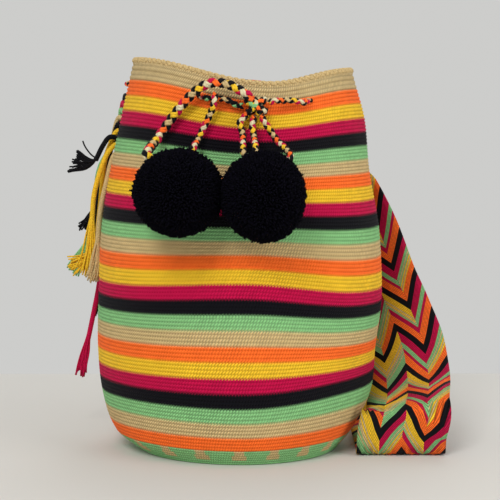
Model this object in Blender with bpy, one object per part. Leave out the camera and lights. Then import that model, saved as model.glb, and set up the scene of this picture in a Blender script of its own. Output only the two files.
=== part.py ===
"""A crocheted shoulder bag with a drawstring mouth, two pompoms and a woven strap.

The bag stands on its base. The origin is the middle of the base on the floor, +Z is up and -Y
is the front, where the drawstring is tied. All sizes are in metres.
"""
import math

import bmesh
import bpy
from mathutils import Vector

# Body: one crocheted shell. Each station is half width left, half width right, half depth.
BAG_HEIGHT = 0.301
WALL = 0.0035
FOOT = (0.086, 0.079, 0.080)
HEEL = (0.105, 0.0915, 0.092)
LOW = (0.1163, 0.107, 0.098)
WAIST = (0.120, 0.1113, 0.100)
BELLY = (0.1198, 0.116, 0.100)
UPPER = (0.1168, 0.1143, 0.096)
SHOULDER = (0.1085, 0.1055, 0.089)
NECK = (0.1005, 0.1008, 0.082)
RIM = (0.093, 0.093, 0.076)
STATION_HEIGHTS = (0.0, 0.05, 0.15, 0.27, 0.415, 0.60, 0.765, 0.90, 1.0)

# Rows of crochet: height of each stripe's lower edge at the middle of the front.
RIM_BAND = 0.015
BASE_BAND = 0.013
STRIPES = 25
ROW_BULGE = 0.0135
STRIPE_RELIEF = 0.0007
EDGE_ROLL = 0.0012

# The rows climb to the two corners of the mouth, sag at the sides lower down and rise near the base.
LIFT_LEFT = ((0.0, 0.0), (0.10, 0.002), (0.17, 0.002), (0.25, -0.0003), (0.33, -0.0015), (0.40, -0.003),
             (0.48, -0.005), (0.62, 0.0005), (0.85, 0.012), (1.0, 0.0195))
LIFT_RIGHT = ((0.0, 0.0), (0.06, 0.002), (0.13, 0.0065), (0.18, 0.0075), (0.25, 0.001), (0.33, -0.0055),
              (0.40, -0.0085), (0.48, -0.012), (0.62, -0.0055), (0.85, 0.006), (1.0, 0.011))
DIP_SHIFT = ((0.0, 0.0), (0.6, 0.0), (1.0, 0.26))

COLUMNS = 48
SPOT_EVERY = 3
ROUTE_STEP = 0.0006

# Drawstring: one braid round the mouth, through eyelets in the wall.
STRING_DIAMETER = 0.005
EYELET_PLAY = 0.0016
EYELET_LEVEL = BAG_HEIGHT - 0.018
STRING_STANDOFF = 0.0012
CROSSING = math.radians(9)
EXIT_LEFT = math.radians(248.5)
EXIT_RIGHT = math.radians(303.8)
BACK_STITCHES = ((math.radians(20), math.radians(46)), (math.radians(150), math.radians(173)))

# Bow: stretches of the same braid outside the wall, met by the knot and the pompoms.
LOOP_DIAMETER = 0.0080
STRAND_DIAMETER = 0.0058
KNOT_CENTRE = (0.011, BAG_HEIGHT - 0.0185)
KNOT_SIZE = (0.021, 0.013, 0.015)
TOUCH = 0.0004

POMPOM_RADIUS = 0.034
POMPOM_LEFT = (-0.048, BAG_HEIGHT - 0.083)
POMPOM_RIGHT = (0.0175, BAG_HEIGHT - 0.0855)
TUFT_RELIEF = 0.0012

# Strap: one woven band with a zigzag pattern.
STRAP_WIDTH = 0.072
STRAP_THICKNESS = 0.003
STRAP_END_WIDTH = 0.046
STRAP_GATHER = 0.095
STRAP_FLOOR_GAP = 0.0003
STRAP_FOLD_RADIUS = 0.0055
STRAP_PANEL = 0.0405
STRAP_CREASE_RADIUS = 0.009
ZIGZAG_RISE = 0.026
ZIGZAG_FADE = 0.055
PATTERN_ROW = 0.0075
FOLD_ROW = 0.0028
SEAM_DIAMETER = 0.004

# Tassels: twisted cords that hang from the strap's left end, and their loose cut ends.
TASSEL_DIAMETER = 0.0045
FRINGE_WIDTH = 0.011

ORANGE = (0.913, 0.168, 0.034)
YELLOW = (0.783, 0.521, 0.038)
MAGENTA = (0.521, 0.005, 0.065)
NAVY = (0.008, 0.007, 0.014)
MINT = (0.235, 0.509, 0.202)
BEIGE = (0.485, 0.366, 0.174)
STRIPE_ORDER = ("orange", "yellow", "magenta", "navy", "mint", "beige")
YARNS = {"orange": ORANGE, "yellow": YELLOW, "magenta": MAGENTA, "navy": NAVY, "mint": MINT, "beige": BEIGE}


def clear_scene():
    for thing in list(bpy.data.objects):
        bpy.data.objects.remove(thing, do_unlink=True)


def yarn(name):
    """Material of a dyed yarn, made once for each colour."""
    material = bpy.data.materials.get(name + "_yarn")
    if material is None:
        material = bpy.data.materials.new(name + "_yarn")
        material.use_nodes = True
        shader = material.node_tree.nodes["Principled BSDF"]
        shader.inputs["Base Color"].default_value = (*YARNS[name], 1.0)
        shader.inputs["Roughness"].default_value = 0.85
        shader.inputs["Metallic"].default_value = 0.0
    return material


def through(table, place):
    """Value at a place in a table of (place, value) pairs, on a smooth curve through them."""
    last = len(table) - 1
    place = min(max(place, table[0][0]), table[last][0])
    span = 0
    while span < last - 1 and place > table[span + 1][0]:
        span += 1

    def slope(index):
        low = max(index - 1, 0)
        high = min(index + 1, last)
        return (table[high][1] - table[low][1]) / (table[high][0] - table[low][0])

    start, end = table[span], table[span + 1]
    length = end[0] - start[0]
    t = (place - start[0]) / length
    rise = (end[1] - start[1])
    bend_in = slope(span) * length - rise
    bend_out = rise - slope(span + 1) * length
    return start[1] + rise * t + t * (1 - t) * (bend_in * (1 - t) + bend_out * t)


def half_sizes(height):
    """Half width left, half width right and half depth of the body at a height above the floor."""
    stations = (FOOT, HEEL, LOW, WAIST, BELLY, UPPER, SHOULDER, NECK, RIM)
    share = height / BAG_HEIGHT
    sizes = []
    for side in range(3):
        table = [(place, station[side]) for place, station in zip(STATION_HEIGHTS, stations)]
        above = max(share - 1.0, 0.0) * BAG_HEIGHT
        narrowing = (NECK[side] - RIM[side]) / (STATION_HEIGHTS[-1] - STATION_HEIGHTS[-2]) / BAG_HEIGHT
        sizes.append(through(table, share) - above * narrowing)
    return sizes


def row_lift(angle, level):
    """How far a row that is at this level in front stands higher at this angle."""
    share = level / BAG_HEIGHT
    shift = through(DIP_SHIFT, share)
    across = math.cos(angle)
    if across > shift:
        return through(LIFT_RIGHT, share) * math.sin(math.pi / 2 * (across - shift) / (1 - shift)) ** 2
    return through(LIFT_LEFT, share) * math.sin(math.pi / 2 * (shift - across) / (1 + shift)) ** 2


def wall_at(angle, height, standoff=0.0):
    """Point at an angle and a height, a standoff outside the body's surface."""
    left, right, depth = half_sizes(height)
    across, along = math.cos(angle), math.sin(angle)
    width = right if across > 0 else left
    normal = Vector((across / width, along / depth, 0.0)).normalized()
    return Vector((width * across, depth * along, height)) + normal * standoff


def row_point(angle, level, standoff=0.0):
    """Point on the row that is at this level in front."""
    return wall_at(angle, level + row_lift(angle, level), standoff)


def front_point(x, height, standoff=0.0):
    """Point at this x and height, a standoff in front of the body's surface."""
    left, right, depth = half_sizes(height)
    width = right if x > 0 else left
    foot = x
    for _ in range(6):
        point = wall_at(-math.acos(max(min(foot / width, 1.0), -1.0)), height, standoff)
        foot += x - point.x
    return point


def stripe_edge(index):
    """Level in front of the lower edge of a stripe, counted from the top one."""
    count = index + 1
    pitch = (BAG_HEIGHT - RIM_BAND - BASE_BAND) / STRIPES
    return BAG_HEIGHT - RIM_BAND - pitch * count + ROW_BULGE * math.sin(math.pi * count / STRIPES) ** 2


def smooth_route(points, spacing):
    """Evenly spaced points on a smooth curve through a route's own points."""
    points = [Vector(point) for point in points]
    marks = [0.0]
    for start, end in zip(points, points[1:]):
        marks.append(marks[-1] + (end - start).length)
    axes = [[(mark, point[axis]) for mark, point in zip(marks, points)] for axis in range(3)]
    count = max(round(marks[-1] / ROUTE_STEP), 24)
    dense = [Vector([through(axis, marks[-1] * step / count) for axis in axes]) for step in range(count + 1)]
    lengths = [0.0]
    for start, end in zip(dense, dense[1:]):
        lengths.append(lengths[-1] + (end - start).length)
    steps = max(round(lengths[-1] / spacing), 3)
    route, span = [], 0
    for step in range(steps + 1):
        target = lengths[-1] * step / steps
        while span < len(dense) - 2 and lengths[span + 1] < target:
            span += 1
        part = (target - lengths[span]) / (lengths[span + 1] - lengths[span])
        route.append(dense[span].lerp(dense[span + 1], min(max(part, 0.0), 1.0)))
    return route


def place_object(name, data, *materials):
    thing = bpy.data.objects.new(name, data)
    bpy.context.collection.objects.link(thing)
    for material in materials:
        data.materials.append(material)
    return thing


def tube(name, points, diameter, colour, spacing=2.0):
    """A round tube along a smooth route. Its first and last two points keep its ends square to their seats."""
    curve = bpy.data.curves.new(name, "CURVE")
    curve.dimensions = "3D"
    curve.bevel_depth = diameter / 2
    curve.bevel_resolution = 2
    curve.use_fill_caps = True
    near = diameter * spacing * 0.6
    smooth = smooth_route(points, diameter * spacing)
    ends = [Vector(point) for point in (*points[:2], *points[-2:])]
    middle = [place for place in smooth if min((place - end).length for end in ends) > near]
    route = ends[:2] + middle + ends[2:]
    spline = curve.splines.new("POLY")
    spline.points.add(len(route) - 1)
    for knot, point in zip(spline.points, route):
        knot.co = (*point, 1.0)
    return place_object(name, curve, yarn(colour))


def mesh_from(name, work, *materials):
    """A smooth-shaded object from a bmesh, with its faces turned outwards."""
    bmesh.ops.recalc_face_normals(work, faces=work.faces)
    mesh = bpy.data.meshes.new(name)
    work.to_mesh(mesh)
    work.free()
    mesh.shade_smooth()
    mesh.set_sharp_from_angle(angle=math.radians(50))
    return place_object(name, mesh, *materials)


def body_rings():
    """Outside rings from the base up: (level, standoff, colour of the band above)."""
    rings = [(0.0, 0.0, "mint"), (BASE_BAND * 0.16, 0.0, "mint"), (BASE_BAND * 0.45, 0.0, "spots")]
    for index in reversed(range(STRIPES)):
        colour = STRIPE_ORDER[index % len(STRIPE_ORDER)]
        low = stripe_edge(index)
        high = stripe_edge(index - 1)
        rings.append((low, -STRIPE_RELIEF / 2, colour))
        rings.append(((low + high) / 2, STRIPE_RELIEF / 2, colour))
    top = BAG_HEIGHT - RIM_BAND
    rings.append((top, -STRIPE_RELIEF / 2, "beige"))
    rings.append((top + RIM_BAND * 0.45, STRIPE_RELIEF / 2, "beige"))
    rings.append((BAG_HEIGHT - EDGE_ROLL * 3, 0.0, "beige"))
    rings.append((BAG_HEIGHT - EDGE_ROLL * 2, EDGE_ROLL, "beige"))
    rings.append((BAG_HEIGHT, EDGE_ROLL / 2, "beige"))
    rings.append((BAG_HEIGHT, -WALL, "beige"))
    return rings


def make_body():
    """The body: one shell of coloured stripes, open at the mouth, with a flat base."""
    work = bmesh.new()
    colours = list(YARNS)
    rings = body_rings()
    inside = (0.93, 0.83, 0.70, 0.56, 0.42, 0.28, 0.15, 0.07)
    rings += [(BAG_HEIGHT * share, -WALL, "beige") for share in inside]
    rings.append((WALL, -WALL, "beige"))
    loops = []
    for level, standoff, _ in rings:
        loop = []
        for column in range(COLUMNS):
            angle = 2 * math.pi * column / COLUMNS
            loop.append(work.verts.new(row_point(angle, level, standoff)))
        loops.append(loop)
    for index, (low, high) in enumerate(zip(loops, loops[1:])):
        for column in range(COLUMNS):
            after = (column + 1) % COLUMNS
            face = work.faces.new((low[column], low[after], high[after], high[column]))
            colour = rings[index][2]
            if colour == "spots":
                colour = "beige" if column % SPOT_EVERY == 0 else "mint"
            face.material_index = colours.index(colour)
    base = work.faces.new(list(reversed(loops[0])))
    base.material_index = colours.index("mint")
    work.faces.new(loops[-1]).material_index = colours.index("beige")
    body = mesh_from("bag_body", work, *[yarn(colour) for colour in colours])
    for number, (angle, direction) in enumerate(eyelets()):
        cut_eyelet(body, number, angle, direction)
    return body


def crossing_points(angle, turn):
    """Inside, middle and outside of the drawstring's way through the wall; turn is +1 or -1."""
    inner = -(WALL + STRING_STANDOFF + STRING_DIAMETER / 2)
    outer = STRING_STANDOFF + STRING_DIAMETER / 2
    return (row_point(angle - turn * CROSSING / 2, EYELET_LEVEL, inner),
            row_point(angle, EYELET_LEVEL, -WALL / 2),
            row_point(angle + turn * CROSSING / 2, EYELET_LEVEL, outer))


def eyelets():
    """Angle of each eyelet and the way round the mouth in which the braid comes out there."""
    holes = [(EXIT_LEFT, 1), (EXIT_RIGHT, -1)]
    for start, end in BACK_STITCHES:
        holes += [(start, 1), (end, -1)]
    return holes


def cut_eyelet(body, number, angle, turn):
    """A round hole through the wall, along the braid's way through it."""
    inside, middle, outside = crossing_points(angle, turn)
    bpy.ops.mesh.primitive_cylinder_add(vertices=12, radius=STRING_DIAMETER / 2 + EYELET_PLAY,
                                        depth=(outside - inside).length * 1.9, location=middle)
    cutter = bpy.context.object
    cutter.name = "eyelet_cutter_%d" % number
    cutter.rotation_euler = (outside - inside).to_track_quat("Z", "Y").to_euler()
    cutter.hide_render = True
    cutter.display_type = "WIRE"
    hole = body.modifiers.new("eyelet_%d" % number, "BOOLEAN")
    hole.operation = "DIFFERENCE"
    hole.object = cutter


def make_drawstring():
    """The braid's stretch that the wall holds: round the inside, with two stitches outside behind."""
    inner = -(WALL + STRING_STANDOFF + STRING_DIAMETER / 2)
    outer = STRING_STANDOFF + STRING_DIAMETER / 2
    points = list(reversed(crossing_points(EXIT_RIGHT - 2 * math.pi, -1)))
    around = EXIT_RIGHT - 2 * math.pi + CROSSING
    step = math.radians(8)
    for start, end in BACK_STITCHES:
        while around < start - CROSSING:
            points.append(row_point(around, EYELET_LEVEL, inner))
            around += step
        points += crossing_points(start, 1)
        around = start + CROSSING
        while around < end - CROSSING:
            points.append(row_point(around, EYELET_LEVEL, outer))
            around += step
        points += reversed(crossing_points(end, -1))
        around = end + CROSSING
    while around < EXIT_LEFT - CROSSING:
        points.append(row_point(around, EYELET_LEVEL, inner))
        around += step
    points += crossing_points(EXIT_LEFT, 1)
    tube("drawstring", points, STRING_DIAMETER, "navy")


def bow_point(x, drop, standoff):
    """Point at this x and a drop below the rim's level, a standoff in front of the body."""
    return front_point(x, BAG_HEIGHT - drop, standoff)


def knot_centre():
    return front_point(*KNOT_CENTRE, KNOT_SIZE[1] / 2 + STRIPE_RELIEF + TOUCH)


def pompom_centre(place):
    return front_point(*place, POMPOM_RADIUS + STRIPE_RELIEF + TOUCH)


def knot_end(direction):
    """Two points where a strand comes squarely out of the knot, in this direction from its middle."""
    direction = Vector(direction).normalized()
    halves = [size / 2 for size in KNOT_SIZE]
    reach = 1 / math.sqrt(sum((part / half) ** 2 for part, half in zip(direction, halves)))
    surface = direction * reach
    out = Vector([part / half ** 2 for part, half in zip(surface, halves)]).normalized()
    start = knot_centre() + surface + out * TOUCH
    return [start, start + out * STRAND_DIAMETER * 0.6]


def tuft(spot):
    """Relief of a pompom's tufts, from -1 to 1, in a direction from its middle."""
    return math.sin(9 * spot.x + 2) * math.sin(11 * spot.y) * math.sin(10 * spot.z + 1)


def pompom_end(place, direction):
    """Two points where a strand goes squarely into a pompom, in this direction from its middle."""
    direction = Vector(direction).normalized()
    relief = TUFT_RELIEF * min(tuft(direction) + 0.3, 1.0)
    end = pompom_centre(place) + direction * (POMPOM_RADIUS + relief + TOUCH)
    return [end + direction * STRAND_DIAMETER * 0.8, end]


def make_bow():
    """The bow's knot and the free strands between the eyelets, the knot and the pompoms."""
    left_out = crossing_points(EXIT_LEFT, 1)
    right_out = crossing_points(EXIT_RIGHT, -1)
    left_way = (left_out[2] - left_out[1]).normalized()
    right_way = (right_out[2] - right_out[1]).normalized()
    routes = {
        "bow_loop_left": ("navy", LOOP_DIAMETER, knot_end((-0.72, -0.45, 0.75)) + [
            bow_point(-0.0030, 0.0055, 0.0150),
            bow_point(-0.0120, 0.0015, 0.0155),
            bow_point(-0.0245, 0.0010, 0.0150),
            bow_point(-0.0355, 0.0070, 0.0125),
            bow_point(-0.0455, 0.0170, 0.0095),
            bow_point(-0.0555, 0.0295, 0.0080),
            bow_point(-0.0640, 0.0415, 0.0085)] + pompom_end(POMPOM_LEFT, (-0.62, 0.30, 0.72))),
        "bow_strand_left": ("orange", STRAND_DIAMETER, [
            bow_point(-0.0218, 0.0182, 0.0062),
            bow_point(-0.0237, 0.0230, 0.0058),
            bow_point(-0.0285, 0.0330, 0.0062),
            bow_point(-0.0335, 0.0435, 0.0075)] + pompom_end(POMPOM_LEFT, (0.27, 0.42, 0.80))),
        "bow_lead_left": ("beige", STRAND_DIAMETER, [
            left_out[2] + left_way * TOUCH,
            left_out[2] + left_way * STRAND_DIAMETER * 0.6,
            bow_point(-0.0190, 0.0125, 0.0066),
            bow_point(-0.0115, 0.0138, 0.0068)] + knot_end((-1.0, 0.10, 0.02))[::-1]),
        "bow_lead_right": ("magenta", STRAND_DIAMETER, [
            right_out[2] + right_way * TOUCH,
            right_out[2] + right_way * STRAND_DIAMETER * 0.6,
            bow_point(0.0390, 0.0142, 0.0070),
            bow_point(0.0320, 0.0144, 0.0075)] + knot_end((1.0, -0.05, 0.25))[::-1]),
        "bow_strand_right_inner": ("magenta", STRAND_DIAMETER, knot_end((-0.80, -0.05, -0.60)) + [
            bow_point(-0.0015, 0.0310, 0.0068),
            bow_point(0.0005, 0.0395, 0.0078)] + pompom_end(POMPOM_RIGHT, (-0.42, 0.42, 0.82))),
        "bow_strand_right_middle": ("mint", STRAND_DIAMETER, knot_end((-0.22, -0.05, -0.85)) + [
            bow_point(0.0078, 0.0330, 0.0068),
            bow_point(0.0092, 0.0415, 0.0080)] + pompom_end(POMPOM_RIGHT, (-0.18, 0.38, 0.90))),
        "bow_strand_right_outer": ("yellow", STRAND_DIAMETER, knot_end((0.50, -0.05, -0.80)) + [
            bow_point(0.0200, 0.0345, 0.0075),
            bow_point(0.0265, 0.0440, 0.0085)] + pompom_end(POMPOM_RIGHT, (0.50, 0.40, 0.77))),
    }
    for name, (colour, diameter, points) in routes.items():
        tube(name, points, diameter, colour)
    bpy.ops.mesh.primitive_uv_sphere_add(segments=16, ring_count=10, radius=0.5, location=knot_centre())
    knot = bpy.context.object
    knot.name = "bow_knot"
    knot.scale = KNOT_SIZE
    knot.data.materials.append(yarn("navy"))
    knot.data.shade_smooth()


def make_pompom(name, place, neighbour):
    """A ball of cut yarn, pressed a little flat against the other pompom."""
    centre = pompom_centre(place)
    toward = (pompom_centre(neighbour) - centre)
    limit = toward.length / 2 - TOUCH
    toward.normalize()
    work = bmesh.new()
    bmesh.ops.create_uvsphere(work, u_segments=24, v_segments=16, radius=POMPOM_RADIUS)
    for vert in work.verts:
        spot = vert.co / POMPOM_RADIUS
        vert.co += spot * TUFT_RELIEF * tuft(spot)
        past = vert.co.dot(toward) - limit
        if past > 0:
            vert.co -= toward * past
    bmesh.ops.translate(work, verts=work.verts, vec=centre)
    mesh_from(name, work, yarn("navy"))


def strap_stations():
    """The band's way from its right end to its left end: (middle of the band, width direction)."""
    def on_back(angle, drop, standoff):
        height, across = BAG_HEIGHT - drop, STRAP_WIDTH / 2
        up = wall_at(angle, height + across) - wall_at(angle, height - across)
        return wall_at(angle, height, standoff + STRAP_THICKNESS / 2), up.normalized()

    def at_side(angle, drop, standoff):
        height = BAG_HEIGHT - drop
        ahead = wall_at(angle - 0.1, height) - wall_at(angle + 0.1, height)
        return wall_at(angle, height, standoff + STRAP_THICKNESS / 2), ahead.normalized()

    low = STRAP_FLOOR_GAP + STRAP_THICKNESS / 2
    fold = STRAP_FOLD_RADIUS
    stations = [
        at_side(math.radians(48), 0.0260, 0.0014),
        at_side(math.radians(48), 0.0410, 0.0024),
        at_side(math.radians(47), 0.0610, 0.0042),
        (Vector((0.0800, 0.0810, 0.220)), (0.74, -0.62, 0.25)),
        (Vector((0.0885, 0.0800, 0.200)), (0.85, -0.42, 0.32)),
        (Vector((0.1040, 0.0730, 0.166)), (0.87, -0.38, 0.33)),
        (Vector((0.1180, 0.0620, 0.127)), (0.89, -0.38, 0.28)),
        (Vector((0.1295, 0.0490, 0.0985)), (0.92, -0.34, 0.20)),
        (Vector((0.1375, 0.0375, 0.0760)), (0.94, -0.30, 0.14)),
        (Vector((0.1400, 0.0240, 0.0570)), (0.95, -0.24, 0.18)),
        (Vector((0.1395, 0.0060, 0.0465)), (0.95, -0.10, 0.28)),
        (Vector((0.1365, -0.0200, 0.0425)), (0.95, 0.0, 0.31)),
    ]
    crease = Vector((0.1325, -0.0410, STRAP_PANEL - STRAP_CREASE_RADIUS))
    for degrees in (80, 50, 20):
        turn = math.radians(degrees)
        way = Vector((0.0, -math.cos(turn), math.sin(turn)))
        stations.append((crease + way * STRAP_CREASE_RADIUS, (0.975, 0.0, 0.22)))
    stations.append((Vector((0.1292, -0.0500, 0.019)), (1.0, 0.0, 0.02)))
    front = Vector((0.1285, -0.0445, low + fold))
    for degrees in (10, -25, -60, -90):
        turn = math.radians(degrees)
        stations.append((front + Vector((0.0, -math.cos(turn), math.sin(turn))) * fold, (1.0, 0.0, 0.0)))
    stations += [
        (Vector((0.1290, -0.032, low)), (1.0, 0.0, 0.0)),
        (Vector((0.1300, 0.000, low)), (1.0, 0.0, 0.0)),
        (Vector((0.1300, 0.040, low + 0.0004)), (1.0, 0.0, 0.0)),
        (Vector((0.1300, 0.070, low + 0.0014)), (1.0, 0.0, 0.0)),
        (Vector((0.1305, 0.092, low + 0.008)), (0.99, -0.05, 0.0)),
        (Vector((0.1295, 0.104, 0.030)), (0.97, -0.10, 0.05)),
        (Vector((0.1230, 0.109, 0.066)), (0.95, -0.20, 0.12)),
        (Vector((0.1130, 0.112, 0.110)), (0.93, -0.24, 0.22)),
        (Vector((0.0980, 0.115, 0.155)), (0.88, -0.26, 0.35)),
        (Vector((0.0780, 0.1160, 0.198)), (0.76, -0.24, 0.58)),
        (Vector((0.0520, 0.1120, BAG_HEIGHT - 0.0600)), (0.52, -0.20, 0.83)),
        (Vector((0.0220, 0.1010, BAG_HEIGHT - 0.0365)), (0.22, -0.19, 0.95)),
        on_back(math.radians(97), 0.0325, 0.0110),
        on_back(math.radians(115), 0.0325, 0.0060),
        on_back(math.radians(134), 0.0350, 0.0030),
        on_back(math.radians(152), 0.0380, 0.0014),
    ]
    return [(Vector(middle), Vector(across).normalized()) for middle, across in stations]


def strap_frames():
    """Closely spaced (distance, middle, along, across, out) frames down the band."""
    stations = strap_stations()
    middles = smooth_route([middle for middle, _ in stations], 0.0012)
    marks, nearest = [], 0
    for middle, _ in stations:
        nearest = min(range(nearest, len(middles)), key=lambda place: (middles[place] - middle).length)
        marks.append(nearest)
    step = (middles[1] - middles[0]).length
    frames, span = [], 0
    for place, middle in enumerate(middles):
        while span < len(marks) - 2 and place > marks[span + 1]:
            span += 1
        part = (place - marks[span]) / max(marks[span + 1] - marks[span], 1)
        part = part * part * (3 - 2 * part)
        across = stations[span][1].lerp(stations[span + 1][1], part)
        along = (middles[min(place + 1, len(middles) - 1)] - middles[max(place - 1, 0)]).normalized()
        across = (across - along * across.dot(along)).normalized()
        frames.append((place * step, middle, along, across, along.cross(across)))
    return frames


def strap_sheet():
    """Length of the band, where it folds on the floor, and a function giving its two faces."""
    frames = strap_frames()
    length = frames[-1][0]
    folded = [frame[0] for frame in frames if frame[1].y < -0.030]

    def faces_at(distance, across):
        place = min(max(distance / length, 0.0), 1.0) * (len(frames) - 1)
        low = min(int(place), len(frames) - 2)
        blend = place - low
        middle = frames[low][1].lerp(frames[low + 1][1], blend)
        side = frames[low][3].lerp(frames[low + 1][3], blend)
        out = frames[low][4].lerp(frames[low + 1][4], blend).normalized()
        from_end = min(distance, length - distance)
        share = min(max(from_end / STRAP_GATHER, 0.0), 1.0)
        width = STRAP_END_WIDTH + (STRAP_WIDTH - STRAP_END_WIDTH) * share * share * (3 - 2 * share)
        point = middle + side * across * width
        return point + out * STRAP_THICKNESS / 2, point - out * STRAP_THICKNESS / 2

    return length, (min(folded), max(folded)), faces_at


def zigzag(across, distance, length, fold):
    """How far the pattern's line lies down the band at a share of its width."""
    wave = 1 - abs((4 * (across + 0.5)) % 2 - 1)
    from_end = min(distance, length - distance)
    from_fold = max(fold[0] - distance, distance - fold[1], 0.0)
    fade = min(max(min(from_end, from_fold) / ZIGZAG_FADE, 0.0), 1.0)
    return ZIGZAG_RISE * (wave - 0.5) * fade * fade * (3 - 2 * fade)


def make_strap():
    """The band: a sheet whose rows of faces follow its zigzag, one colour for each row."""
    order = ("navy", "yellow", "beige", "mint", "orange")
    colours = list(YARNS)
    length, fold, faces_at = strap_sheet()
    rows, distance = [], 0.0
    while distance < length - PATTERN_ROW * 0.6:
        rows.append(distance)
        near = fold[0] - PATTERN_ROW < distance < fold[1] + PATTERN_ROW
        distance += FOLD_ROW if near else PATTERN_ROW
    rows.append(length)
    shares = [column / 4 - 0.5 for column in range(5)]
    work = bmesh.new()
    front, back = [], []
    for row in rows:
        pairs = [faces_at(row + zigzag(share, row, length, fold), share) for share in shares]
        front.append([work.verts.new(pair[0]) for pair in pairs])
        back.append([work.verts.new(pair[1]) for pair in pairs])
    for index in range(len(rows) - 1):
        colour = colours.index(order[int(rows[index] / PATTERN_ROW) % len(order)])
        for column in range(4):
            for sheet in (front, back):
                face = work.faces.new((sheet[index][column], sheet[index + 1][column],
                                       sheet[index + 1][column + 1], sheet[index][column + 1]))
                face.material_index = colour
        for side in (0, 4):
            edge = work.faces.new((front[index][side], front[index + 1][side],
                                   back[index + 1][side], back[index][side]))
            edge.material_index = colour
    for index in (0, len(rows) - 1):
        for column in range(4):
            work.faces.new((front[index][column], front[index][column + 1],
                            back[index][column + 1], back[index][column]))
    mesh_from("strap", work, *[yarn(colour) for colour in colours])
    return faces_at, length


def seam_axis(faces_at, length, at_left, share):
    """Point on the axis of an end's seam at a share of the band's width, and its way past the end."""
    distance, beyond = (length, 1) if at_left else (0.0, -1)
    end = sum(faces_at(distance, share), Vector()) / 2
    before = sum(faces_at(distance - beyond * SEAM_DIAMETER, share), Vector()) / 2
    away = (end - before).normalized()
    return end + away * (SEAM_DIAMETER / 2 + TOUCH), away


def make_strap_seams(faces_at, length):
    """A roll of overcast stitches over each end of the band, against the wall."""
    for name, at_left in (("strap_seam_right", False), ("strap_seam_left", True)):
        points = [seam_axis(faces_at, length, at_left, step / 4 - 0.5)[0] for step in range(5)]
        tube(name, points, SEAM_DIAMETER, "navy")


# Tassel cords from the seam's lower end up: name, colour, points past the seam (x, y and drop below
# the rim's level), way its loose end falls, and length of that end.
TASSELS = (
    ("beige_front", "beige", ((-0.1070, 0.0235, 0.0610), (-0.1130, 0.0170, 0.0830), (-0.1180, 0.0140, 0.1060),
                              (-0.1206, 0.0129, 0.1330)), (-0.22, 0.0, -1.0), 0.034),
    ("yellow_front", "yellow", ((-0.1055, 0.0290, 0.0520), (-0.1130, 0.0240, 0.0600), (-0.1195, 0.0210, 0.0770),
                                (-0.1240, 0.0195, 0.0950), (-0.1255, 0.0190, 0.1130)), (-0.20, 0.0, -1.0), 0.050),
    ("navy_short", "navy", ((-0.1045, 0.0325, 0.0470), (-0.1110, 0.0280, 0.0460), (-0.1165, 0.0255, 0.0530),
                            (-0.1215, 0.0240, 0.0630)), (-0.80, 0.0, -0.45), 0.018),
    ("yellow_back", "yellow", ((-0.1045, 0.0365, 0.0410), (-0.1080, 0.0362, 0.0450), (-0.1160, 0.0335, 0.0670),
                               (-0.1185, 0.0310, 0.0930), (-0.1210, 0.0300, 0.1160), (-0.1235, 0.0300, 0.1360)),
     (-0.80, 0.0, -0.50), 0.030),
    ("navy_lower", "navy", ((-0.1040, 0.0400, 0.0350), (-0.1068, 0.0418, 0.0395), (-0.1120, 0.0400, 0.0600),
                            (-0.1215, 0.0385, 0.0830), (-0.1220, 0.0375, 0.1000)), (-0.45, 0.0, -0.90), 0.030),
    ("beige_back", "beige", ((-0.1035, 0.0435, 0.0295), (-0.1068, 0.0472, 0.0350), (-0.1105, 0.0464, 0.0520),
                             (-0.1165, 0.0440, 0.0810), (-0.1190, 0.0420, 0.1110), (-0.1205, 0.0420, 0.1360)),
     (-0.25, 0.0, -1.0), 0.034),
    ("mint", "mint", ((-0.1025, 0.0470, 0.0235), (-0.1035, 0.0510, 0.0290), (-0.1085, 0.0520, 0.0490),
                      (-0.1215, 0.0500, 0.0730), (-0.1260, 0.0485, 0.1030), (-0.1300, 0.0485, 0.1290)),
     (-0.15, 0.0, -1.0), 0.036),
    ("magenta", "magenta", ((-0.1010, 0.0500, 0.0175), (-0.1025, 0.0560, 0.0220), (-0.1050, 0.0580, 0.0400),
                            (-0.1150, 0.0575, 0.0610), (-0.1165, 0.0550, 0.1010), (-0.1195, 0.0545, 0.1410),
                            (-0.1235, 0.0540, 0.1740), (-0.1280, 0.0540, 0.1970), (-0.1325, 0.0540, 0.2180)),
     (-0.20, 0.0, -1.0), 0.036),
    ("navy_long", "navy", ((-0.0990, 0.0520, 0.0115), (-0.1005, 0.0600, 0.0150), (-0.1035, 0.0650, 0.0340),
                           (-0.1085, 0.0650, 0.0660), (-0.1120, 0.0640, 0.1110), (-0.1175, 0.0620, 0.1510),
                           (-0.1205, 0.0610, 0.1720)), (-0.10, 0.0, -1.0), 0.030),
)


def make_tassels(faces_at, length):
    """Twisted cords from the seam at the strap's left end, each ending in a lock of loose yarn."""
    for place, (name, colour, points, fall, loose) in enumerate(TASSELS):
        share = (place + 0.5) / len(TASSELS) - 0.5
        axis, away = seam_axis(faces_at, length, True, share)
        start = axis + away * (SEAM_DIAMETER / 2 + TOUCH)
        stub = TASSEL_DIAMETER / 2
        route = [start, start + away * stub] + [Vector((x, y, BAG_HEIGHT - drop)) for x, y, drop in points]
        heading = (route[-1] - route[-2]).normalized()
        route.append(route[-1] + heading * stub)
        tube("tassel_cord_" + name, route, TASSEL_DIAMETER, colour)
        make_fringe("tassel_end_" + name, route[-1], heading, Vector(fall), loose, colour)


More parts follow.
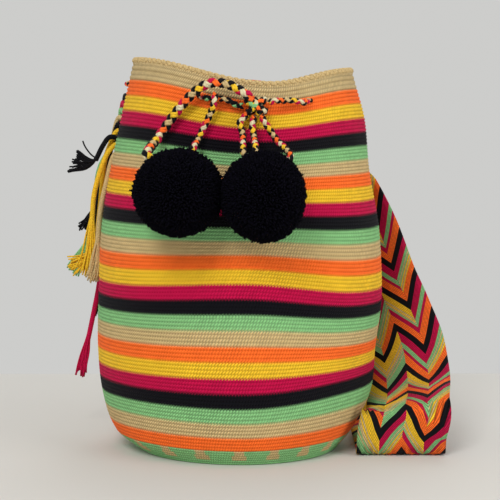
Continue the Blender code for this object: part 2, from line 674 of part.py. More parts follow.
def make_fringe(name, start, heading, fall, length, colour):
    """The untwisted end of a cord: a lock of loose yarn that widens to its cut end."""
    fall.normalize()
    work = bmesh.new()
    loops = []
    middle = start + heading * TOUCH
    previous = 0.0
    for share, spread in ((0.0, 0.0), (0.3, 0.25), (0.65, 0.7), (1.0, 1.0)):
        along = heading.lerp(fall, min(share * 1.6, 1.0)).normalized()
        middle = middle + along * length * (share - previous)
        previous = share
        side = along.cross(Vector((0.0, 1.0, 0.0))).normalized()
        deep = along.cross(side).normalized()
        wide = (TASSEL_DIAMETER + (FRINGE_WIDTH - TASSEL_DIAMETER) * spread) / 2
        loop = []
        for corner in range(8):
            turn = 2 * math.pi * corner / 8
            edge = side * math.cos(turn) * wide + deep * math.sin(turn) * TASSEL_DIAMETER / 2
            loop.append(work.verts.new(middle + edge))
        loops.append(loop)
    for low, high in zip(loops, loops[1:]):
        for corner in range(8):
            after = (corner + 1) % 8
            work.faces.new((low[corner], low[after], high[after], high[corner]))
    work.faces.new(loops[0])
    work.faces.new(loops[-1])
    mesh_from(name, work, yarn(colour))


def main():
    clear_scene()
    make_body()
    make_drawstring()
    make_bow()
    make_pompom("pompom_left", POMPOM_LEFT, POMPOM_RIGHT)
    make_pompom("pompom_right", POMPOM_RIGHT, POMPOM_LEFT)
    faces_at, length = make_strap()
    make_strap_seams(faces_at, length)
    make_tassels(faces_at, length)


main()
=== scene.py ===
import math

import bpy
import numpy as np
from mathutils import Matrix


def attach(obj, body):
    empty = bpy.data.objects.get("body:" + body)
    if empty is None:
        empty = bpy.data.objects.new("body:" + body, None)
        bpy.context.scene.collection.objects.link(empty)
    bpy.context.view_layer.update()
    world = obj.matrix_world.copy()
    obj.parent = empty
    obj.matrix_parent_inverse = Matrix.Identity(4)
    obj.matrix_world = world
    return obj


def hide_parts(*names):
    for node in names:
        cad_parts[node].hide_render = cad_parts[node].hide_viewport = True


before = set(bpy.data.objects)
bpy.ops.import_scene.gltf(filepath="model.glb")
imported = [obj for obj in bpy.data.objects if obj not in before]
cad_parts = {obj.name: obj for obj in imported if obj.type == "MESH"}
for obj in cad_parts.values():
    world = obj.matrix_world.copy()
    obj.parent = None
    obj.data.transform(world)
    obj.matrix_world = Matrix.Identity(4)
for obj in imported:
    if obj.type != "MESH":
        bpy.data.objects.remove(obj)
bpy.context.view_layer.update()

# The viewpoint: a long lens level with the mouth, 1.35 m in front of the bag's axis, looking a
# little down, as the bag was seen.
lens = bpy.data.cameras.new("camera")
lens.sensor_width = 36
lens.lens = 118
camera = bpy.data.objects.new("camera", lens)
camera.location = (0.0, -1.35, 0.300)
camera.rotation_euler = (math.radians(90 - 5.81), 0.0, math.radians(-0.28))
bpy.context.collection.objects.link(camera)
bpy.context.scene.camera = camera

# Bow braids: the drawstring's free stretches in front, each a round braid of four strands of dyed
# cotton yarn, two passing over in the middle and two showing at the edges. They lie on the wall.
BAG_HEIGHT = 0.301
WALL = 0.0035
STATION_HEIGHTS = (0.0, 0.05, 0.15, 0.27, 0.415, 0.60, 0.765, 0.90, 1.0)
HALF_WIDTH_LEFT = (0.086, 0.105, 0.1163, 0.120, 0.1198, 0.1168, 0.1085, 0.1005, 0.093)
HALF_WIDTH_RIGHT = (0.079, 0.0915, 0.107, 0.1113, 0.116, 0.1143, 0.1055, 0.1008, 0.093)
HALF_DEPTH = (0.080, 0.092, 0.098, 0.100, 0.100, 0.096, 0.089, 0.082, 0.076)
LIFT_LEFT = ((0.0, 0.0), (0.10, 0.002), (0.17, 0.002), (0.25, -0.0003), (0.33, -0.0015),
             (0.40, -0.003), (0.48, -0.005), (0.62, 0.0005), (0.85, 0.012), (1.0, 0.0195))
LIFT_RIGHT = ((0.0, 0.0), (0.06, 0.002), (0.13, 0.0065), (0.18, 0.0075), (0.25, 0.001),
              (0.33, -0.0055), (0.40, -0.0085), (0.48, -0.012), (0.62, -0.0055), (0.85, 0.006), (1.0, 0.011))
DIP_SHIFT = ((0.0, 0.0), (0.6, 0.0), (1.0, 0.26))
STRIPE_RELIEF = 0.0007
TOUCH = 0.0004
ROUTE_STEP = 0.0006


def through(table, place):
    """Values at places in a table of (place, value) pairs, on a smooth curve through them."""
    marks, values = np.array(table, float).T
    last = len(marks) - 1
    place = np.clip(place, marks[0], marks[-1])
    span = np.clip(np.searchsorted(marks, place) - 1, 0, last - 1)
    low, high = np.maximum(np.arange(last + 1) - 1, 0), np.minimum(np.arange(last + 1) + 1, last)
    slopes = (values[high] - values[low]) / (marks[high] - marks[low])
    length = marks[span + 1] - marks[span]
    rise = values[span + 1] - values[span]
    t = (place - marks[span]) / length
    bend_in = slopes[span] * length - rise
    bend_out = rise - slopes[span + 1] * length
    return values[span] + rise * t + t * (1 - t) * (bend_in * (1 - t) + bend_out * t)


def unit(vectors):
    vectors = np.asarray(vectors, float)
    return vectors / np.linalg.norm(vectors, axis=-1, keepdims=True)


def half_sizes(height):
    """Half width left, half width right and half depth of the bag at a height above the floor."""
    share = np.asarray(height, float) / BAG_HEIGHT
    above = np.maximum(share - 1.0, 0.0) * 10
    return [through(list(zip(STATION_HEIGHTS, sizes)), share) - above * (sizes[-2] - sizes[-1])
            for sizes in (HALF_WIDTH_LEFT, HALF_WIDTH_RIGHT, HALF_DEPTH)]


def row_lift(angle, level):
    """How far a row that is at this level in front stands higher at this angle."""
    share = np.asarray(level, float) / BAG_HEIGHT
    shift = through(DIP_SHIFT, share)
    across = np.cos(angle)
    right = through(LIFT_RIGHT, share) * np.sin(np.pi / 2 * (across - shift) / (1 - shift)) ** 2
    left = through(LIFT_LEFT, share) * np.sin(np.pi / 2 * (shift - across) / (1 + shift)) ** 2
    return np.where(across > shift, right, left)


def wall_at(angle, height, standoff=0.0):
    """Points at an angle and a height, a standoff outside the bag's surface."""
    left, right, depth = half_sizes(height)
    across, along = np.cos(angle), np.sin(angle)
    width = np.where(across > 0, right, left)
    x, y = across / width, along / depth
    size = np.hypot(x, y)
    return np.stack(np.broadcast_arrays(width * across + x / size * standoff,
                                        depth * along + y / size * standoff,
                                        np.asarray(height, float)), axis=-1)


def row_point(angle, level, standoff=0.0):
    return wall_at(angle, level + row_lift(angle, level), standoff)


def front_point(x, height, standoff=0.0):
    """Point at this x and height, a standoff in front of the bag's surface."""
    left, right, _ = half_sizes(height)
    width = right if x > 0 else left
    foot = x
    for _ in range(6):
        point = wall_at(-math.acos(max(min(foot / width, 1.0), -1.0)), height, standoff)
        foot += x - point[0]
    return point


def distances(points):
    """How far along a route each of its points lies."""
    return np.concatenate([[0.0], np.cumsum(np.linalg.norm(np.diff(points, axis=0), axis=1))])


def smooth_route(points, spacing):
    """Evenly spaced points on a smooth curve through a route's own points."""
    points = np.asarray(points, float)
    marks = distances(points)
    dense = np.linspace(0.0, marks[-1], max(round(marks[-1] / ROUTE_STEP), 24) + 1)
    dense = np.stack([through(list(zip(marks, points[:, axis])), dense) for axis in range(3)], axis=-1)
    lengths = distances(dense)
    even = np.linspace(0.0, lengths[-1], max(round(lengths[-1] / spacing), 3) + 1)
    return np.stack([np.interp(even, lengths, dense[:, axis]) for axis in range(3)], axis=-1)


def route_length(route):
    return float(np.linalg.norm(np.diff(route, axis=0), axis=1).sum())


def carried(route, first):
    """Along, side and out directions at each point, carried down the route without twist."""
    along = unit(np.gradient(route, axis=0))
    out = [np.asarray(first, float)]
    for way in along:
        kept = out[-1] - way * out[-1].dot(way)
        out.append(kept / np.linalg.norm(kept))
    out = np.array(out[1:])
    return along, np.cross(along, out), out


def round_faces(u, v):
    """Face corners and their UV for a grid of points that closes round. u and v are grids with one
    column more, where it closes."""
    around = u.shape[1] - 1
    row, column = np.meshgrid(np.arange(len(u) - 1), np.arange(around), indexing="ij")
    corners = ((row, column), (row, column + 1), (row + 1, column + 1), (row + 1, column))
    quads = np.stack([down * around + over % around for down, over in corners], axis=-1)
    uvs = np.stack([np.stack([u[corner], v[corner]], axis=-1) for corner in corners], axis=2)
    return quads.reshape(-1, 4), uvs.reshape(-1, 2)


def mesh_piece(name, verts, faces, materials, uvs=None, slots=None):
    """A smooth piece with its materials, a UV for each face corner and a material number for each face."""
    mesh = bpy.data.meshes.new(name)
    mesh.from_pydata(verts, [], faces)
    if uvs is not None:
        mesh.uv_layers.new(name="yarn").data.foreach_set("uv", np.ravel(uvs))
    if slots is not None:
        mesh.polygons.foreach_set("material_index", np.array(slots, dtype=np.int32))
    mesh.shade_smooth()
    for material in materials:
        mesh.materials.append(material)
    piece = bpy.data.objects.new(name, mesh)
    bpy.context.collection.objects.link(piece)
    return piece


def yarn_tubes(name, runs, materials, sides=6):
    """One piece of yarns. A run is its points, half width, half thickness, thickness direction and
    material number, or one number for each of its lengths. UV is the yarn's length in millimetres and
    the share of the way round it."""
    verts, quads, ends, uvs, slots, end_slots = [], [], [], [], [], []
    count = 0
    around = 2 * np.pi * (np.arange(sides) / sides)
    for points, wide, thin, out, slot in runs:
        points = np.asarray(points, float)
        along = unit(np.gradient(points, axis=0))
        side = unit(np.cross(along, out))
        out = np.cross(side, along)
        wide = np.broadcast_to(wide, len(points))[:, None, None]
        thin = np.broadcast_to(thin, len(points))[:, None, None]
        ring = (np.cos(around)[None, :, None] * side[:, None, :] * wide
                + np.sin(around)[None, :, None] * out[:, None, :] * thin)
        verts.append((points[:, None, :] + ring).reshape(-1, 3))
        faces, corner_uvs = round_faces(*np.meshgrid(distances(points) * 1000, np.arange(sides + 1) / sides,
                                                     indexing="ij"))
        quads.append(faces + count)
        uvs.append(corner_uvs)
        slots += np.repeat(np.broadcast_to(slot, len(points) - 1), sides).tolist()
        ends.append(np.arange(sides)[::-1] + count)
        ends.append(np.arange(sides) + count + (len(points) - 1) * sides)
        end_slots += [np.ravel(slot)[0], np.ravel(slot)[-1]]
        count += len(points) * sides
    faces = np.concatenate(quads).tolist() + np.array(ends).tolist()
    uvs.append(np.zeros((len(ends) * sides, 2)))
    return mesh_piece(name, np.concatenate(verts), faces, materials, np.concatenate(uvs), slots + end_slots)


def to_linear(colour):
    parts = [int(colour[place:place + 2], 16) / 255 for place in (1, 3, 5)]
    return (*[part / 12.92 if part <= 0.04045 else ((part + 0.055) / 1.055) ** 2.4 for part in parts], 1.0)


def add_node(tree, kind, inputs=(), stops=(), **settings):
    """A shader node with its settings. A kind in capitals is an operation of the Math node. Inputs are
    given by name or in order, and a node given as one is linked by its first output. The stops of a
    colour ramp are its places and colours."""
    made = tree.nodes.new("ShaderNode" + ("Math" if kind.isupper() else kind))
    if kind.isupper():
        made.operation = kind
    for key, value in settings.items():
        setattr(made, key, value)
    for key, value in (inputs.items() if isinstance(inputs, dict) else enumerate(inputs)):
        value = value.outputs[0] if isinstance(value, bpy.types.Node) else value
        if isinstance(value, bpy.types.NodeSocket):
            tree.links.new(value, made.inputs[key])
        else:
            made.inputs[key].default_value = value
    for number, (place, colour) in enumerate(stops):
        elements = made.color_ramp.elements
        stop = elements[number] if number < len(elements) else elements.new(place)
        stop.position, stop.color = place, to_linear(colour)
    return made


def matt_cotton(name, roughness, specular, sheen):
    """A new material of dull cotton fibre that shines hardly at all, with its node tree and shader."""
    material = bpy.data.materials.new(name)
    material.use_nodes = True
    shader = material.node_tree.nodes["Principled BSDF"]
    for socket, value in (
            ("Roughness", roughness), ("Specular IOR Level", specular), ("Sheen Weight", sheen)):
        shader.inputs[socket].default_value = value
    return material, material.node_tree, shader


def cotton_yarn(name, colour, painted_shade_and_highlight=0.0):
    """Dyed mercerised cotton yarn: two plies in relief that turn 0.45 times in a millimetre, and depths of
    colour in patches of about 1.4 mm. Painted shade darkens a float's edges by the share given, and a painted
    highlight makes its middle a little lighter."""
    material, tree, shader = matt_cotton(name, 0.78, 0.15, 0.04)
    places = add_node(tree, "TexCoord")
    patches = add_node(tree, "TexNoise", {"Vector": places.outputs["Object"], "Scale": 700.0, "Detail": 2.0})
    depth = add_node(tree, "MapRange", {"Value": patches.outputs["Fac"], "From Min": 0.3, "From Max": 0.7,
                                        "To Min": 0.80, "To Max": 1.15})
    spot = add_node(tree, "SeparateXYZ", {"Vector": places.outputs["UV"]})
    along, around = spot.outputs["X"], spot.outputs["Y"]
    inwards = add_node(tree, "PINGPONG", [around, 0.5])
    # Painted shade and highlight: the colour is darker towards a float's edges and lighter in its middle, by
    # the share given.
    edge = add_node(tree, "MapRange", {"Value": inwards, "From Max": 0.42, "To Min": 1.0 - painted_shade_and_highlight,
                                       "To Max": 1.0 + 0.30 * painted_shade_and_highlight})
    dye_and_painted_shade = add_node(tree, "MULTIPLY", [depth, edge])
    tone = add_node(tree, "HueSaturation", {"Value": dye_and_painted_shade, "Color": to_linear(colour)})
    tree.links.new(tone.outputs["Color"], shader.inputs["Base Color"])
    plies = add_node(tree, "MULTIPLY", [around, 2.0])
    turn = add_node(tree, "MULTIPLY_ADD", [along, 0.45, plies])
    wave = add_node(tree, "PINGPONG", [turn, 0.5])
    relief = add_node(tree, "Bump", {"Strength": 0.7, "Distance": 0.0005, "Height": wave})
    tree.links.new(relief.outputs["Normal"], shader.inputs["Normal"])
    return material


COLOURS = {"orange": "#ff6f27", "yellow": "#efc02c", "beige": "#cbb07c", "cream": "#ddd2aa",
           "navy": "#09080f", "mint": "#86c07f", "magenta": "#c00845"}
yarns = {colour: cotton_yarn(colour + " cotton yarn", code) for colour, code in COLOURS.items()}
braid_yarns = list(yarns.values())


def strands(*pairs):
    """Each strand's two colours, as their places in braid_yarns."""
    return [[list(yarns).index(colour) for colour in pair] for pair in pairs]


def braid_runs(route, diameter, pitch, face, pairs):
    """Runs of a round braid of four strands of doubled yarn. Even strands pass over in front. A strand
    shows its first colour on one turn and its second on the next. Its sizes are shares of the braid's
    diameter, and a strand is wider where it lies further out."""
    _, side, out = carried(route, face)
    gone = distances(route)
    runs = []
    for number, colours in enumerate(pairs):
        turn = 1 if number % 2 == 0 else -1
        angle = turn * 2 * np.pi * gone / pitch + (np.pi if number > 1 else 0.0)
        reach = diameter * (0.195 + turn * 0.130 * np.cos(2 * angle))
        away = out * np.cos(angle)[:, None] + side * np.sin(angle)[:, None]
        middle = route + away * reach[:, None]
        along = unit(np.gradient(middle, axis=0))
        beside = unit(np.cross(along, away))
        wide = 0.11 * diameter + 0.24 * (reach - 0.06 * diameter)
        shown = np.array(colours)[np.floor(gone / pitch + (0.0 if number > 1 else 0.5)).astype(int) % 2]
        for offset in (-0.105, 0.105):
            runs.append((middle + beside * offset * diameter, wide, diameter * 0.165, away, shown[:-1]))
    return runs


def knot_end(direction):
    """Two points where a strand comes squarely out of the knot, in this direction from its middle."""
    direction = unit(direction)
    halves = np.array(KNOT_SIZE) / 2
    surface = direction / math.sqrt(((direction / halves) ** 2).sum())
    out = unit(surface / halves ** 2)
    start = knot_centre + surface + out * TOUCH
    return [start, start + out * STRAND_DIAMETER * 0.6]


def tuft(spot):
    """Relief of a pompom's tufts, from -1 to 1, in a direction from its middle."""
    return np.sin(9 * spot[..., 0] + 2) * np.sin(11 * spot[..., 1]) * np.sin(10 * spot[..., 2] + 1)


def pompom_end(centre, direction):
    """Points where a strand goes squarely into a pompom and sinks into its yarn, in this direction."""
    direction = unit(direction)
    relief = 0.0012 * min(tuft(direction) + 0.3, 1.0)
    end = centre + direction * (POMPOM_RADIUS + relief + TOUCH)
    return [end + direction * STRAND_DIAMETER * 0.8, end, end - direction * POMPOM_SINK]


def bow_way(*places):
    """Points in front of the wall, from their x, their drop below the mouth and their standoff."""
    return [front_point(x, BAG_HEIGHT - drop, standoff) for x, drop, standoff in places]


STRING_DIAMETER = 0.005
STRING_STANDOFF = 0.0012
STRING_INSIDE = -(WALL + STRING_STANDOFF + STRING_DIAMETER / 2)
STRING_OUTSIDE = STRING_STANDOFF + STRING_DIAMETER / 2
EYELET_LEVEL = BAG_HEIGHT - 0.018
CROSSING = math.radians(9)
EXIT_LEFT = math.radians(248.5)
EXIT_RIGHT = math.radians(303.8)


def crossing_points(angle, turn):
    """Inside, middle and outside of the drawstring's way through the wall; turn is +1 or -1."""
    return [row_point(angle - turn * CROSSING / 2, EYELET_LEVEL, STRING_INSIDE),
            row_point(angle, EYELET_LEVEL, -WALL / 2),
            row_point(angle + turn * CROSSING / 2, EYELET_LEVEL, STRING_OUTSIDE)]


def eyelet_end(angle, turn):
    """Two points where a lead goes straight on from the drawstring's way through the wall."""
    _, middle, outside_end = crossing_points(angle, turn)
    away = unit(outside_end - middle)
    return [outside_end + away * TOUCH, outside_end + away * STRAND_DIAMETER * 0.6]


LOOP_DIAMETER = 0.0080
STRAND_DIAMETER = 0.0058
LEAD_DIAMETER = 0.0052
LOOP_PITCH = 0.0148
BRAID_PITCH = 0.0116
KNOT_SIZE = (0.021, 0.013, 0.015)
POMPOM_RADIUS = 0.034
POMPOM_SINK = 0.0020
knot_centre = front_point(0.011, BAG_HEIGHT - 0.0185, KNOT_SIZE[1] / 2 + STRIPE_RELIEF + TOUCH)
pompom_left = front_point(-0.048, BAG_HEIGHT - 0.083, POMPOM_RADIUS + STRIPE_RELIEF + TOUCH)
pompom_right = front_point(0.0175, BAG_HEIGHT - 0.0855, POMPOM_RADIUS + STRIPE_RELIEF + TOUCH)
bow_strands = strands(("orange", "yellow"), ("navy", "navy"), ("cream", "beige"), ("magenta", "navy"))
left_lead_strands = strands(("navy", "orange"), ("navy", "navy"), ("navy", "beige"), ("mint", "navy"))
bow_routes = {
    "bow_loop_left": (LOOP_DIAMETER, LOOP_PITCH, knot_end((-0.72, -0.45, 0.75)) + bow_way(
        (-0.0030, 0.0055, 0.0150), (-0.0120, 0.0015, 0.0155), (-0.0245, 0.0010, 0.0150),
        (-0.0355, 0.0070, 0.0125), (-0.0455, 0.0170, 0.0095), (-0.0555, 0.0295, 0.0080),
        (-0.0640, 0.0415, 0.0085)) + pompom_end(pompom_left, (-0.62, 0.30, 0.72))),
    "bow_strand_left": (STRAND_DIAMETER, BRAID_PITCH, bow_way(
        (-0.0205, 0.0090, 0.0108), (-0.0212, 0.0150, 0.0122), (-0.0235, 0.0225, 0.0085),
        (-0.0285, 0.0330, 0.0064), (-0.0335, 0.0435, 0.0075)) + pompom_end(pompom_left, (0.27, 0.42, 0.80))),
    "bow_lead_left": (LEAD_DIAMETER, BRAID_PITCH, eyelet_end(EXIT_LEFT, 1) + bow_way(
        (-0.0190, 0.0125, 0.0066), (-0.0115, 0.0138, 0.0068)) + knot_end((-1.0, 0.10, 0.02))[::-1]),
    "bow_lead_right": (LEAD_DIAMETER, BRAID_PITCH, eyelet_end(EXIT_RIGHT, -1) + bow_way(
        (0.0390, 0.0142, 0.0070), (0.0320, 0.0144, 0.0075)) + knot_end((1.0, -0.05, 0.25))[::-1]),
    "bow_strand_right_inner": (STRAND_DIAMETER, BRAID_PITCH, knot_end((-0.80, -0.05, -0.60)) + bow_way(
        (-0.0015, 0.0310, 0.0068), (0.0005, 0.0395, 0.0078)) + pompom_end(pompom_right, (-0.42, 0.42, 0.82))),
    "bow_strand_right_middle": (STRAND_DIAMETER, BRAID_PITCH, knot_end((-0.22, -0.05, -0.85)) + bow_way(
        (0.0078, 0.0330, 0.0068), (0.0092, 0.0415, 0.0080)) + pompom_end(pompom_right, (-0.18, 0.38, 0.90))),
    "bow_strand_right_outer": (STRAND_DIAMETER, BRAID_PITCH, knot_end((0.50, -0.05, -0.80)) + bow_way(
        (0.0200, 0.0345, 0.0075), (0.0265, 0.0440, 0.0085)) + pompom_end(pompom_right, (0.50, 0.40, 0.77))),
}
for name, (diameter, pitch, points) in bow_routes.items():
    route = smooth_route(points, ROUTE_STEP)
    runs = braid_runs(route, diameter, pitch, (0.0, -1.0, 0.0),
                      left_lead_strands if name == "bow_lead_left" else bow_strands)
    braid = yarn_tubes(name.replace("bow_", "braid_"), runs, braid_yarns, sides=7)
    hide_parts(name)
    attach(braid, "root")

# Knot of the bow: the same braid passed round itself and drawn tight, two turns over the front and
# one across them, as a lump of braid on the wall.
KNOT_BRAID_DIAMETER = 0.0056
KNOT_BRAID_PITCH = 0.0112
KNOT_INSET = 0.0023
knot_strands = strands(("orange", "navy"), ("navy", "navy"), ("cream", "mint"), ("navy", "yellow"))
knot_turns = (
    ((1.0, 0.15, 0.35), (0.0, 0.0, 1.0), 0.0, 1.06),
    ((0.55, -0.10, 1.0), (0.6, 0.1, -0.4), 1.3, 1.12),
    ((-0.75, 0.2, 0.9), (0.5, 0.0, 0.5), 2.1, 1.18),
)
knot_runs = []
for normal, first, phase, size in knot_turns:
    normal = unit(normal)
    first = unit(np.asarray(first) - normal * np.dot(first, normal))
    second = np.cross(normal, first)
    turn = np.linspace(0.0, 2 * np.pi * 0.985, 110)[:, None] + phase
    ring = first * np.cos(turn) + second * np.sin(turn)
    reach = 1 / np.sqrt(((ring / (np.array(KNOT_SIZE) / 2 - KNOT_INSET)) ** 2).sum(axis=1, keepdims=True))
    knot_runs += braid_runs(knot_centre + ring * reach * size, KNOT_BRAID_DIAMETER, KNOT_BRAID_PITCH,
                            tuple(ring[0]), knot_strands)
knot = yarn_tubes("knot_braid", knot_runs, braid_yarns, sides=6)
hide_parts("bow_knot")
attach(knot, "root")

# Drawstring in the wall: the braid from the right front eyelet round the inside of the mouth, with
# two stitches outside behind, to the left front eyelet. It is threaded, not sewn.
BACK_STITCHES = ((math.radians(20), math.radians(46)), (math.radians(150), math.radians(173)))
STRING_PITCH = 0.0122
STRING_STEP = math.radians(8)
string_points = crossing_points(EXIT_RIGHT - 2 * math.pi, -1)[::-1]
around = EXIT_RIGHT - 2 * math.pi + CROSSING
for start, end in BACK_STITCHES + ((EXIT_LEFT, None),):
    while around < start - CROSSING:
        string_points.append(row_point(around, EYELET_LEVEL, STRING_INSIDE))
        around += STRING_STEP
    string_points += crossing_points(start, 1)
    if end is None:
        break
    around = start + CROSSING
    while around < end - CROSSING:
        string_points.append(row_point(around, EYELET_LEVEL, STRING_OUTSIDE))
        around += STRING_STEP
    string_points += crossing_points(end, -1)[::-1]
    around = end + CROSSING
string_strands = strands(("orange", "yellow"), ("navy", "navy"), ("beige", "cream"), ("magenta", "mint"))
string_runs = braid_runs(smooth_route(string_points, 0.0011), STRING_DIAMETER, STRING_PITCH, (0.0, 0.0, 1.0),
                         string_strands)
drawstring = yarn_tubes("drawstring_braid", string_runs, braid_yarns, sides=6)
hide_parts("drawstring")
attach(drawstring, "root")

# Strap's line: the middle of the woven band from its right seam, down the side, folded in front on
# the floor, back under itself and up behind to its left seam. The tassels hang from that seam.
STRAP_WIDTH = 0.072
STRAP_THICKNESS = 0.003
STRAP_END_WIDTH = 0.046
STRAP_GATHER = 0.095
STRAP_PANEL = 0.0405
STRAP_CREASE_RADIUS = 0.009
SEAM_DIAMETER = 0.004


def on_back(angle, drop, standoff):
    height, across = BAG_HEIGHT - drop, STRAP_WIDTH / 2
    up = wall_at(angle, height + across) - wall_at(angle, height - across)
    return wall_at(angle, height, standoff + STRAP_THICKNESS / 2), unit(up)


def at_side(angle, drop, standoff):
    height = BAG_HEIGHT - drop
    ahead = wall_at(angle - 0.1, height) - wall_at(angle + 0.1, height)
    return wall_at(angle, height, standoff + STRAP_THICKNESS / 2), unit(ahead)


low = 0.0003 + STRAP_THICKNESS / 2
fold = 0.0055
strap_stations = [
    at_side(math.radians(48), 0.0260, 0.0014), at_side(math.radians(48), 0.0410, 0.0024),
    at_side(math.radians(47), 0.0610, 0.0042),
    ((0.0800, 0.0810, 0.220), (0.74, -0.62, 0.25)), ((0.0885, 0.0800, 0.200), (0.85, -0.42, 0.32)),
    ((0.1040, 0.0730, 0.166), (0.87, -0.38, 0.33)), ((0.1180, 0.0620, 0.127), (0.89, -0.38, 0.28)),
    ((0.1295, 0.0490, 0.0985), (0.92, -0.34, 0.20)), ((0.1375, 0.0375, 0.0760), (0.94, -0.30, 0.14)),
    ((0.1400, 0.0240, 0.0570), (0.95, -0.24, 0.18)), ((0.1395, 0.0060, 0.0465), (0.95, -0.10, 0.28)),
    ((0.1365, -0.0200, 0.0425), (0.95, 0.0, 0.31))]
for degrees in (80, 50, 20):
    turn = math.radians(degrees)
    strap_stations.append(((0.1325, -0.0410 - math.cos(turn) * STRAP_CREASE_RADIUS,
                            STRAP_PANEL - STRAP_CREASE_RADIUS + math.sin(turn) * STRAP_CREASE_RADIUS),
                           (0.975, 0.0, 0.22)))
strap_stations.append(((0.1292, -0.0500, 0.019), (1.0, 0.0, 0.02)))
for degrees in (10, -25, -60, -90):
    turn = math.radians(degrees)
    strap_stations.append(((0.1285, -0.0445 - math.cos(turn) * fold, low + fold + math.sin(turn) * fold),
                           (1.0, 0.0, 0.0)))
strap_stations += [
    ((0.1290, -0.032, low), (1.0, 0.0, 0.0)), ((0.1300, 0.000, low), (1.0, 0.0, 0.0)),
    ((0.1300, 0.040, low + 0.0004), (1.0, 0.0, 0.0)), ((0.1300, 0.070, low + 0.0014), (1.0, 0.0, 0.0)),
    ((0.1305, 0.092, low + 0.008), (0.99, -0.05, 0.0)), ((0.1295, 0.104, 0.030), (0.97, -0.10, 0.05)),
    ((0.1230, 0.109, 0.066), (0.95, -0.20, 0.12)), ((0.1130, 0.112, 0.110), (0.93, -0.24, 0.22)),
    ((0.0980, 0.115, 0.155), (0.88, -0.26, 0.35)), ((0.0780, 0.1160, 0.198), (0.76, -0.24, 0.58)),
    ((0.0520, 0.1120, BAG_HEIGHT - 0.0600), (0.52, -0.20, 0.83)),
    ((0.0220, 0.1010, BAG_HEIGHT - 0.0365), (0.22, -0.19, 0.95)),
    on_back(math.radians(97), 0.0325, 0.0110), on_back(math.radians(115), 0.0325, 0.0060),
    on_back(math.radians(134), 0.0350, 0.0030), on_back(math.radians(152), 0.0380, 0.0014)]


def eased(share):
    """A share from 0 to 1 that leaves 0 and comes to 1 slowly."""
    return share ** 2 * (3 - 2 * share)


strap_line = smooth_route([middle for middle, _ in strap_stations], 0.0012)
marks, nearest = [], 0
for middle, _ in strap_stations:
    nearest += int(np.argmin(np.linalg.norm(strap_line[nearest:] - np.asarray(middle), axis=1)))
    marks.append(nearest)
place = np.arange(len(strap_line))
span = np.clip(np.searchsorted(marks, place) - 1, 0, len(marks) - 2)
part = (place - np.array(marks)[span]) / np.maximum(np.diff(marks)[span], 1)
part = eased(np.clip(part, 0, 1))
ways = unit([way for _, way in strap_stations])
strap_along = unit(np.gradient(strap_line, axis=0))
strap_across = ways[span] + (ways[span + 1] - ways[span]) * part[:, None]
strap_across = unit(strap_across - strap_along * (strap_across * strap_along).sum(axis=1, keepdims=True))
strap_out = np.cross(strap_along, strap_across)
strap_length = route_length(strap_line)


def strap_point(distance, across, standoff):
    """Points on the band at a distance down it, a share of its width and a standoff from its middle."""
    distance = np.clip(distance, 0.0, strap_length)
    at = distance / strap_length * (len(strap_line) - 1)
    middle, side, out = (np.stack([np.interp(at, place, table[:, axis]) for axis in range(3)], axis=-1)
                         for table in (strap_line, strap_across, strap_out))
    share = np.clip(np.minimum(distance, strap_length - distance) / STRAP_GATHER, 0.0, 1.0)
    width = STRAP_END_WIDTH + (STRAP_WIDTH - STRAP_END_WIDTH) * eased(share)
    return middle + side * (across * width)[..., None] + unit(out) * np.asarray(standoff)[..., None]


def seam_axis(at_left, share):
    """Point on the axis of an end's seam at a share of the band's width, and its way past the end."""
    distance, beyond = (strap_length, 1) if at_left else (0.0, -1)
    end = strap_point(np.float64(distance), np.float64(share), np.float64(0.0))
    before = strap_point(np.float64(distance - beyond * SEAM_DIAMETER), np.float64(share), np.float64(0.0))
    away = unit(end - before)
    return end + away * (SEAM_DIAMETER / 2 + TOUCH), away


